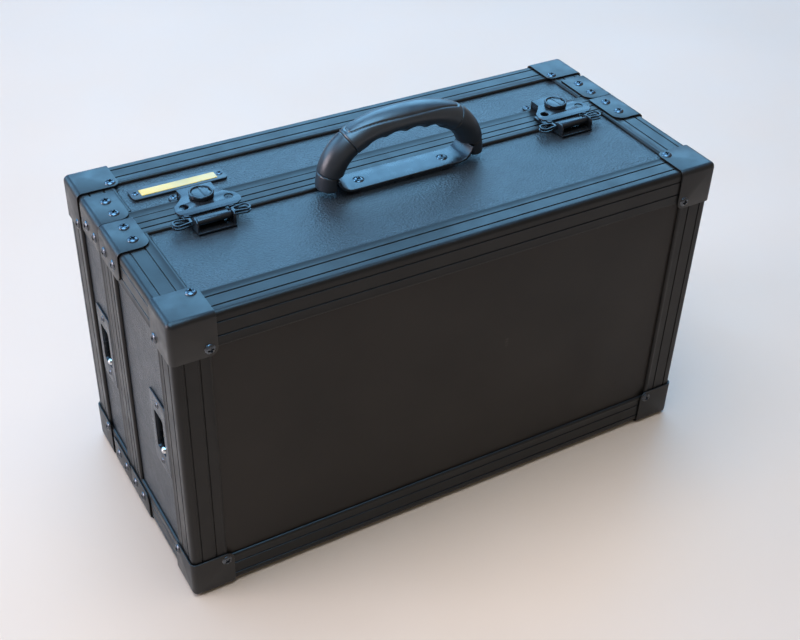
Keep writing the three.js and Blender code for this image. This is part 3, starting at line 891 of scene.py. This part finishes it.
def make_strap(width):
    """The base strap with two countersinks, the pad under it and its screws."""
    x, y = HANDLE_MIDDLE.x, HANDLE_MIDDLE.y
    rings = [[(x + across, at, TOP + z) for across, z in strap_outline()]
             for at in (y - width / 2, y + width / 2)]
    sink = lathe([(0, -0.45), (4.7, -0.45), (5.3, 3), (0, 3)], 32)
    sinks = [moved(sink, shift(x + sign * STRAP_SCREW_X, y, TOP + 1.1)) for sign in SIDES.values()]
    strap = without(modified(lofted(rings), bevel(0.6, 3, 50)), *sinks)
    pad = block((x - PAD["x"], x + PAD["x"]), (y - PAD["front"], y + PAD["back"]), (PANEL_TOP, TOP), 0.3)
    place("handle_base_strap", joined([strap, pad]), STRAP, "front_half", ["handle_strap"])
    heads = [screw_at(BIG, (x + sign * STRAP_SCREW_X, y, TOP + 0.6), (0, 0, 1), sign)
             for sign in SIDES.values()]
    place("handle_screws", joined(heads), PALE_SCREW, "front_half")


def make_handle():
    width = high("handle_strap").y - low("handle_strap").y
    make_grip_and_legs(width)
    make_strap(width)


# ---------- latches ----------
# Lengths from the latch's middle (X), the parting plane (Y) and the case's top plane (Z).
CATCH_X = -3        # the keeper and the claw's nose stand this far to the left of the disc
EAR = {"reach": 30.8, "y": -30.5, "radius": 5.4, "rim": 1.5, "hole_from": 18}
EAR_COVER = (3.6, 4.8)
EAR_KEEPER = (0.9, 2.1)
DISC_Y = -4
WING_RADIUS = 7.2
CLAW_PLATE = (2.9, 3.9)
BASE_HOLE = {"x": 17.7, "y": -13.5}
FOOT_SCREW = {"x": 15.4, "y": 15.2}


def mirrored(points):
    """A right half outline, closed by its mirror image."""
    return points + [(-x, *rest) for x, *rest in reversed(points)]


def ears(z, root):
    """Two oblong loops that stand out sideways, one above the other on the two halves."""
    made = []
    low_y, high_y = EAR["y"] - EAR["radius"], EAR["y"] + EAR["radius"]
    rim, reach = EAR["rim"], EAR["reach"]
    for sign in (-1, 1):
        outline = rounded([(sign * root, low_y + 2.4, 0.4), (sign * reach, low_y, 4.4),
                           (sign * reach, high_y, 4.4), (sign * root, high_y - 2.4, 0.4)], 8)
        near, tip = sign * EAR["hole_from"], sign * (reach - rim)
        hole = rounded([(near, low_y + rim + 2, 0.8), (tip, low_y + rim, 3),
                        (tip, high_y - rim, 3), (near, high_y - rim - 2, 0.8)], 8)
        made.append(moved(sheet(outline, z, [hole], 0.35), shift(CATCH_X, 0, 0)))
    return made


def cover_mesh():
    outline = rounded(mirrored([
        (19.5, -25.4, 1.5), (24.2, -22.2, 1.5), (26.2, -17.0, 2), (24.4, -10.6, 2),
        (17.4, -3.2, 2), (14, 1.2, 1.5), (14, 11.7, 0.5),
    ]))
    holes = [ring(sign * BASE_HOLE["x"], BASE_HOLE["y"], 3.5) for sign in (-1, 1)]
    parts = [sheet(outline, (4.4, 5.6), holes, 0.3),
             block((-14, 14), (10.4, 11.8), (-3.5, 5.5), 0.5)]
    for sign in (-1, 1):
        foot = rounded([(sign * 10.5, 10.9, 0.5), (sign * 19, 10.9, 2), (sign * 19, 18.6, 3.5),
                        (sign * 10.5, 18.6, 3.5)])
        parts.append(sheet(foot, (-3.5, -2.2), edge=0.25))
        parts.append(block(sorted((sign * 12.3, sign * 13.6)), (0.7, 11.6), (-1.2, 5), 0.25))
        tab = sorted((CATCH_X + sign * 15.6, CATCH_X + sign * 19.4))
        parts.append(block(tab, (-26.6, -20.5), (EAR_COVER[0], 5.4), 0.3))
    parts += ears(EAR_COVER, 15.8)
    return joined(parts)


def disc_mesh():
    """The turned disc: a raised rim round a shallow well, with a notch and one fixed half."""
    rim = lathe([(0, 7.8), (7.6, 7.8), (7.75, 8.8), (8.3, 9.4), (8.9, 9.4), (9.5, 8.8), (9.5, 6.5),
                 (9.1, 5.9), (0, 5.9)], 64)
    body = without(rim, moved(lathe([(0, 5), (1.3, 5), (1.3, 11), (0, 11)], 20), shift(9.9, 0, 0)))
    arc = [math.pi * (0.53 + 0.94 * i / 16) for i in range(17)]
    half = [(0, -7.1), (0, 7.1)] + [(WING_RADIUS * math.cos(a), WING_RADIUS * math.sin(a)) for a in arc]
    spindle = lathe([(0, 4.3), (2.9, 4.3), (2.9, 6.2), (0, 6.2)], 24)
    return moved(joined([body, sheet(half, (7.8, 8.7), edge=0.15), spindle]), shift(0, DISC_Y, 0))


def wing_mesh():
    """The half disc that folds up to turn the latch, with a finger notch at its rim."""
    arc = [math.pi * (-0.47 + 0.94 * i / 16) for i in range(17)]
    notch = 1.1
    outline = [(0.3, 7.1), (0.3, -7.1)] + [
        (WING_RADIUS * math.cos(a) - (notch if abs(a) < 0.2 else 0), WING_RADIUS * math.sin(a))
        for a in arc]
    return moved(sheet(outline, (7.9, 8.8), edge=0.15), shift(0, DISC_Y, 0))


def claw_mesh():
    """A flat plate with a rolled nose in front and its pivot barrel behind."""
    half = 11.5
    roll = [math.pi * (0.5 + 1.5 * i / 18) for i in range(19)]
    nose = {"y": -34.4, "z": 3.8, "out": 2.9, "half": 13.2}
    outer = [(nose["y"] + nose["out"] * math.cos(a), nose["z"] + nose["out"] * math.sin(a))
             for a in roll]
    ends = (CATCH_X - nose["half"], CATCH_X + nose["half"])
    plate = [block((-half, half), (-22, 4), CLAW_PLATE, 0.2),
             block(ends, (nose["y"], -21), CLAW_PLATE, 0.2)]
    drum = lofted([[(x, y, z) for y, z in outer] for x in ends])
    barrel = lathe([(0, -half), (2.4, -half), (2.4, half), (0, half)], 24)
    barrel = moved(barrel, shift(0, 4, 1.4) @ ALONG_X)
    return joined([*plate, modified(drum, bevel(0.3, 2, 50)), barrel])


def keeper_mesh():
    """The open box on the front half that the claw's roll drops into, with its loops and base."""
    half = 15.2
    wall = rounded([(-41, -3.5, 0.3), (-26.3, -3.5, 0.3), (-26.3, 3.5, 2), (-30.5, 5.4, 2),
                    (-33.5, 7, 2), (-39.3, 7, 2.8), (-41, 3.5, 1.5)])
    ends = (CATCH_X - half, CATCH_X + half)
    parts = [
        block((-22, 22), (-23.3, -5), (-1.2, 0.2), 0.3),
        block(ends, (-24.6, -23.3), (-3.5, 0.2), 0.3),
        block(ends, (-42, -24), (-3.5, -2.4), 0.25),
        block(ends, (-42, -41), (-3.4, -1.4), 0.3),
        block(ends, (-31, -28), (-1.1, 0.2), 0.3),
    ]
    for x in ends:
        inside = x + math.copysign(0.6, CATCH_X - x)
        parts.append(moved(sheet(wall, (-0.6, 0.6), edge=0.3), shift(inside, 0, 0) @ ALONG_X))
    parts += ears(EAR_KEEPER, half - 0.3)
    return joined(parts)


def make_latches():
    makers = {"cover": cover_mesh, "disc": disc_mesh, "wing": wing_mesh, "claw": claw_mesh,
              "keeper": keeper_mesh}
    bodies = {"cover": "back_half", "keeper": "front_half"}
    meshes = {kind: make() for kind, make in makers.items()}
    for side in SIDES:
        at = shift(joint_point(f"latch_{side}_turn").x, PARTING, TOP)
        for kind, mesh in meshes.items():
            node = f"latch_{side}_{kind}"
            place(f"latch_{side}_{kind}_shaped", moved(mesh, at), STEEL, bodies.get(kind, node),
                  [node])
        feet = [screw_at(SMALL, (x, FOOT_SCREW["y"], -2.25), (0, 0, 1), x)
                for x in (-FOOT_SCREW["x"], FOOT_SCREW["x"])]
        place(f"latch_{side}_foot_screws", moved(joined(feet), at), SCREW, "back_half")
        base = [screw_at(SMALL, (x, BASE_HOLE["y"], 0.15), (0, 0, 1), x)
                for x in (-BASE_HOLE["x"], BASE_HOLE["x"])]
        place(f"latch_{side}_base_screws", moved(joined(base), at), SCREW, "front_half")


# ---------- label ----------
def make_label():
    centre = (low("label_plate") + high("label_plate")) / 2
    half = (high("label_plate") - low("label_plate")) / 2
    floor = low("label_plate").z
    outline = oblong((-half.x, half.x), (-half.y, half.y), 3.5)
    plate = moved(sheet(outline, (0, 1.7), edge=0.35), shift(centre.x, centre.y, floor))
    place("label_backplate", plate, MOULDING, "back_half", ["label_plate"])
    field = {"x": 30.7, "y": 4.4}
    screw_x = 34.3
    bar = sheet(oblong((-field["x"], field["x"]), (-field["y"], field["y"]), 0.8), (1.5, 2.0), edge=0.15)
    place("label_field", moved(bar, shift(centre.x, centre.y - 1, floor)), YELLOW, "back_half")
    screws = [screw_at(SMALL, (centre.x + sign * screw_x, centre.y, floor + 1.55), (0, 0, 1), sign)
              for sign in (-1, 1)]
    place("label_screws", joined(screws), SCREW, "back_half")


# ---------- end plates ----------
WINDOW = {"y": 8.5, "z": 18}
LIP = 1.6
WELL_HALF = {"y": 10.2, "z": 22.5}
WELL_WALL = 0.4
END_SCREW_Z = 27.5


def end_bracket(half, at, bar_at):
    """The flat plate with its window, the lip behind the window and the bar across it."""
    outline = oblong((-half.y, half.y), (-half.z, half.z), 2)
    hole = oblong((-WINDOW["y"], WINDOW["y"]), (-WINDOW["z"], WINDOW["z"]), 2.5)
    rim = oblong((-WINDOW["y"] - LIP, WINDOW["y"] + LIP), (-WINDOW["z"] - LIP, WINDOW["z"] + LIP), 3.5)
    flat = sheet(outline, (0, 1.2), [hole], 0.3)
    lip = sheet(rim, (1.0, 4.0), [hole], 0.25)
    bar = lathe([(0, -20), (1.9, -20), (1.9, 20), (0, 20)], 20)
    return joined([moved(flat, at @ ALONG_X), moved(lip, at @ ALONG_X), moved(bar, bar_at)])


def end_well(outer, middle):
    """The well behind the window: a floor and four walls. Their near-black matte finish is painted shade
    for the recess, darker than the bracket's steel.
    """
    y = (middle.y - WELL_HALF["y"], middle.y + WELL_HALF["y"])
    z = (middle.z - WELL_HALF["z"], middle.z + WELL_HALF["z"])
    deep = (outer + 1.6, outer + 9)
    walls = [block((outer + 8.9, outer + 9.3), y, z, 0.1)]
    for sign in (-1, 1):
        far, near = WELL_HALF["y"], WELL_HALF["y"] - WELL_WALL
        walls.append(block(deep, sorted((middle.y + sign * far, middle.y + sign * near)), z, 0.1))
        far, near = WELL_HALF["z"], WELL_HALF["z"] - WELL_WALL
        walls.append(block(deep, y, sorted((middle.z + sign * far, middle.z + sign * near)), 0.1))
    return joined(walls)


def end_catch(outer, middle):
    """The polished button low in the window."""
    ball = lathe([(0, 3), (1.1, 2.8), (2.1, 2.1), (2.8, 1.1), (3, 0), (2.6, -1.5), (0, -1.5)], 28)
    at = shift(outer + 0.6, middle.y - WINDOW["y"] + 2.2, middle.z - 11.5)
    return moved(ball, at @ Matrix.Rotation(-math.pi / 2, 4, "Y"))


def make_end_plates():
    for name in HALVES:
        node = f"{name}_end_plate"
        body = f"{name}_half"
        middle = (low(node) + high(node)) / 2
        half = (high(node) - low(node)) / 2
        outer = low(node).x
        plate = end_bracket(half, shift(outer, middle.y, middle.z),
                            shift(outer + 5.7, middle.y - 2, middle.z))
        place(f"{name}_end_bracket", plate, STRAP, body, [node])
        # The well's walls are real shape; their near-black finish is painted shade.
        place(f"{name}_end_well", end_well(outer, middle), RECESS_SHADE, body)
        place(f"{name}_end_catch", end_catch(outer, middle), BRIGHT, body)
        heads = [screw_at(SMALL, (outer + 0.1, middle.y, middle.z + sign * END_SCREW_Z), (-1, 0, 0), sign)
                 for sign in (-1, 1)]
        place(f"{name}_end_screws", joined(heads), SCREW, body)


# ---------- stage, light and camera ----------
def make_stage():
    reach = 9000
    outline = [(-reach, -reach), (reach, -reach), (reach, reach), (-reach, reach)]
    floor = bpy.data.objects.new("floor", lofted([[(x, y, z) for x, y in outline] for z in (-20, -0.4)]))
    made = Nodes("pale floor")
    made.into("Base Color", made.colours(made.spread(made.noise(3, 3), 0.3, 0.7, 0, 1),
                                         (0.73, 0.64, 0.53), (0.77, 0.68, 0.57)))
    made.into("Roughness", made.spread(made.noise(12, 3), 0.3, 0.7, 0.5, 0.6))
    floor.data.materials.append(made.material)
    bpy.context.scene.collection.objects.link(floor)


def softbox(name, position, target, size, power, colour, sheen_only=False, fill_only=False):
    light = bpy.data.lights.new(name, "AREA")
    light.shape = "RECTANGLE"
    light.size, light.size_y = size
    light.energy = power
    light.color = colour
    lamp = bpy.data.objects.new(name, light)
    lamp.location = position
    lamp.rotation_euler = (Vector(target) - Vector(position)).to_track_quat("-Z", "Y").to_euler()
    lamp.visible_diffuse = not sheen_only
    lamp.visible_glossy = not fill_only
    bpy.context.scene.collection.objects.link(lamp)


def make_light():
    """A dim warm surround with blue sky behind and above, and soft boxes. The blue boxes give only
    sheen and the overhead one only fill, so that the floor stays neutral."""
    world = bpy.data.worlds.new("studio")
    world.use_nodes = True
    tree = world.node_tree
    way = tree.nodes.new("ShaderNodeTexCoord").outputs["Generated"]
    skyward = tree.nodes.new("ShaderNodeVectorMath")
    skyward.operation = "DOT_PRODUCT"
    skyward.inputs[1].default_value = (0, 0.55, 0.83)
    ramp = tree.nodes.new("ShaderNodeValToRGB")
    ramp.color_ramp.interpolation = "EASE"
    ramp.color_ramp.elements[0].position = 0.35
    ramp.color_ramp.elements[0].color = (0.27, 0.22, 0.175, 1)
    ramp.color_ramp.elements[1].position = 0.8
    ramp.color_ramp.elements[1].color = (0.14, 0.46, 1.0, 1)
    tree.links.new(way, skyward.inputs[0])
    tree.links.new(skyward.outputs["Value"], ramp.inputs["Fac"])
    tree.links.new(ramp.outputs["Color"], tree.nodes["Background"].inputs["Color"])
    tree.nodes["Background"].inputs["Strength"].default_value = 0.95
    bpy.context.scene.world = world
    blue = (0.27, 0.64, 1.0)
    softbox("sky", (1.5, 2.6, 2.3), (0, 0, 0.25), (3.6, 2.6), 155, blue, sheen_only=True)
    softbox("left sky", (-2.0, 2.4, 1.7), (0, 0, 0.25), (2.4, 2.0), 75, blue, sheen_only=True)
    softbox("high sky", (-0.5, -0.3, 2.8), (0, 0, 0.3), (2.2, 2.2), 150, blue, sheen_only=True)
    softbox("left", (-2.6, 0.6, 0.9), (0, 0, 0.15), (1.4, 1.2), 46, (1.0, 0.90, 1.0))
    softbox("overhead", (-0.3, 0.2, 3.2), (0, 0.3, 0), (2.5, 2.5), 85, (1.0, 0.84, 0.66), fill_only=True)


CAMERA = {"x": -434.0, "y": -733.3, "z": 760.3, "heading": 31.08, "down": 37.08, "roll": 2.085}


def make_camera():
    """Heading turns from +Y towards +X, down is under level, and roll lifts the right side."""
    camera = bpy.data.cameras.new("camera")
    camera.lens = 55.87
    camera.sensor_width = 36
    holder = bpy.data.objects.new("camera", camera)
    turned = (
        Matrix.Rotation(-math.radians(CAMERA["heading"]), 4, "Z")
        @ Matrix.Rotation(math.radians(90 - CAMERA["down"]), 4, "X")
        @ Matrix.Rotation(math.radians(CAMERA["roll"]), 4, "Z")
    )
    place_at = Vector((CAMERA["x"], CAMERA["y"], CAMERA["z"])) * MM
    holder.matrix_world = Matrix.Translation(place_at) @ turned
    bpy.context.scene.collection.objects.link(holder)
    bpy.context.scene.camera = holder


finish_panels()
make_edge_frames()
make_depth_trims()
make_closures()
make_caps_and_braces()
make_case_screws()
make_hinge_screws()
make_handle()
make_latches()
make_label()
make_end_plates()
make_stage()
make_light()
make_camera()
bpy.context.scene.view_settings.view_transform = "Standard"
